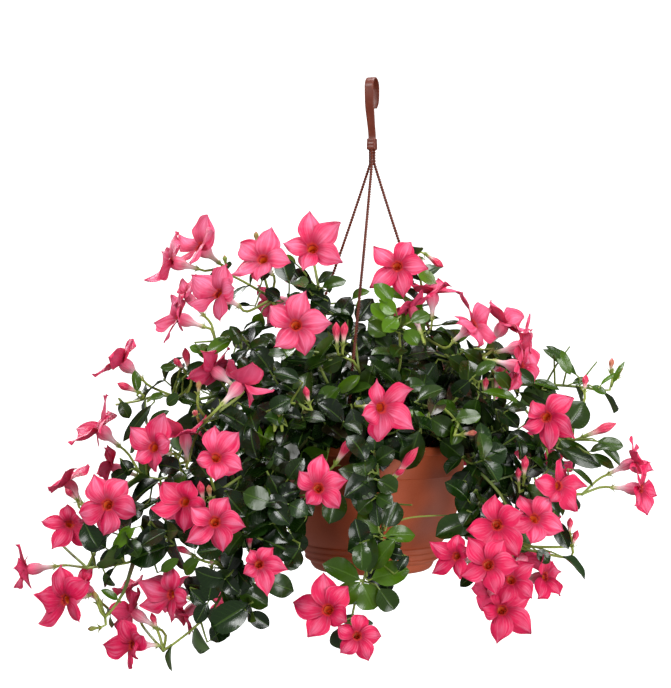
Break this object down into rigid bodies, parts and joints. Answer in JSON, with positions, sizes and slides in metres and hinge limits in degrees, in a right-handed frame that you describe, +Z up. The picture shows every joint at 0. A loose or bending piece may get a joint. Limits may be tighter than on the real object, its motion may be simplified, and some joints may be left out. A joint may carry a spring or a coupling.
{
  "type": "hanging potted plant",
  "caption": "Mandevilla trailing from a terracotta-coloured plastic hanging pot: leafy shoots, pink trumpet flowers and buds, with a hooked strand hanger.",
  "frame": {"origin": "inner top of the hanger hook's loop, where the plant hangs; the pot's axis passes through it", "axes": "+Z up along the pot's axis, +X to the right across the plant's widest side, -Y towards the viewer, where the hook's mouth side and the fullest flowers are"},
  "size_m": [0.8096, 0.5932, 0.773],
  "materials": {
    "pot": "satin, terracotta-coloured, fine grain",
    "soil": "rough, loose bark and peat",
    "hanger": "satin brown plastic",
    "leaf": "glossy dark green leaves and green stems",
    "flower": "soft satin pink petals with an orange throat"
  },
  "bodies": {
    "root": {"pot": "pot", "soil": "soil", "hanger_hook": "hanger", "hanger_strand_front": "hanger", "hanger_strand_left": "hanger", "hanger_strand_right": "hanger", "shoot_back_centre_left": "leaf", "shoot_back_centre_right": "leaf", "shoot_back_left": "leaf", "shoot_back_right": "leaf", "shoot_back_trail_left": "leaf", "shoot_back_trail_right": "leaf", "shoot_centre": "leaf", "shoot_centre_left": "leaf", "shoot_front": "leaf", "shoot_left_a": "leaf", "shoot_left_b": "leaf", "shoot_left_c": "leaf", "shoot_left_d": "leaf", "shoot_left_e": "leaf", "shoot_left_f": "leaf", "shoot_left_upper": "leaf", "shoot_right_far": "leaf", "shoot_right_low": "leaf", "shoot_right_mid": "leaf", "shoot_right_trail": "leaf", "shoot_right_upper": "leaf", "shoot_top": "leaf", "shoot_top_left": "leaf", "shoot_top_right": "leaf", "flowers_back_centre_left": "flower", "flowers_back_centre_right": "flower", "flowers_back_left": "flower", "flowers_back_right": "flower", "flowers_back_trail_left": "flower", "flowers_back_trail_right": "flower", "flowers_centre": "flower", "flowers_centre_left": "flower", "flowers_front_end": "flower", "flowers_front_left": "flower", "flowers_left_a": "flower", "flowers_left_b_end": "flower", "flowers_left_b_inner": "flower", "flowers_left_c": "flower", "flowers_left_d_end": "flower", "flowers_left_d_inner": "flower", "flowers_left_d_side": "flower", "flowers_left_e_end": "flower", "flowers_left_e_inner": "flower", "flowers_left_f": "flower", "flowers_left_upper": "flower", "flowers_right_low_end": "flower", "flowers_right_low_inner": "flower", "flowers_right_mid": "flower", "flowers_right_trail": "flower", "flowers_right_upper": "flower", "flowers_top": "flower", "flowers_top_left_end": "flower", "flowers_top_left_inner": "flower", "flowers_top_right": "flower"}
  },
  "joints": []
}
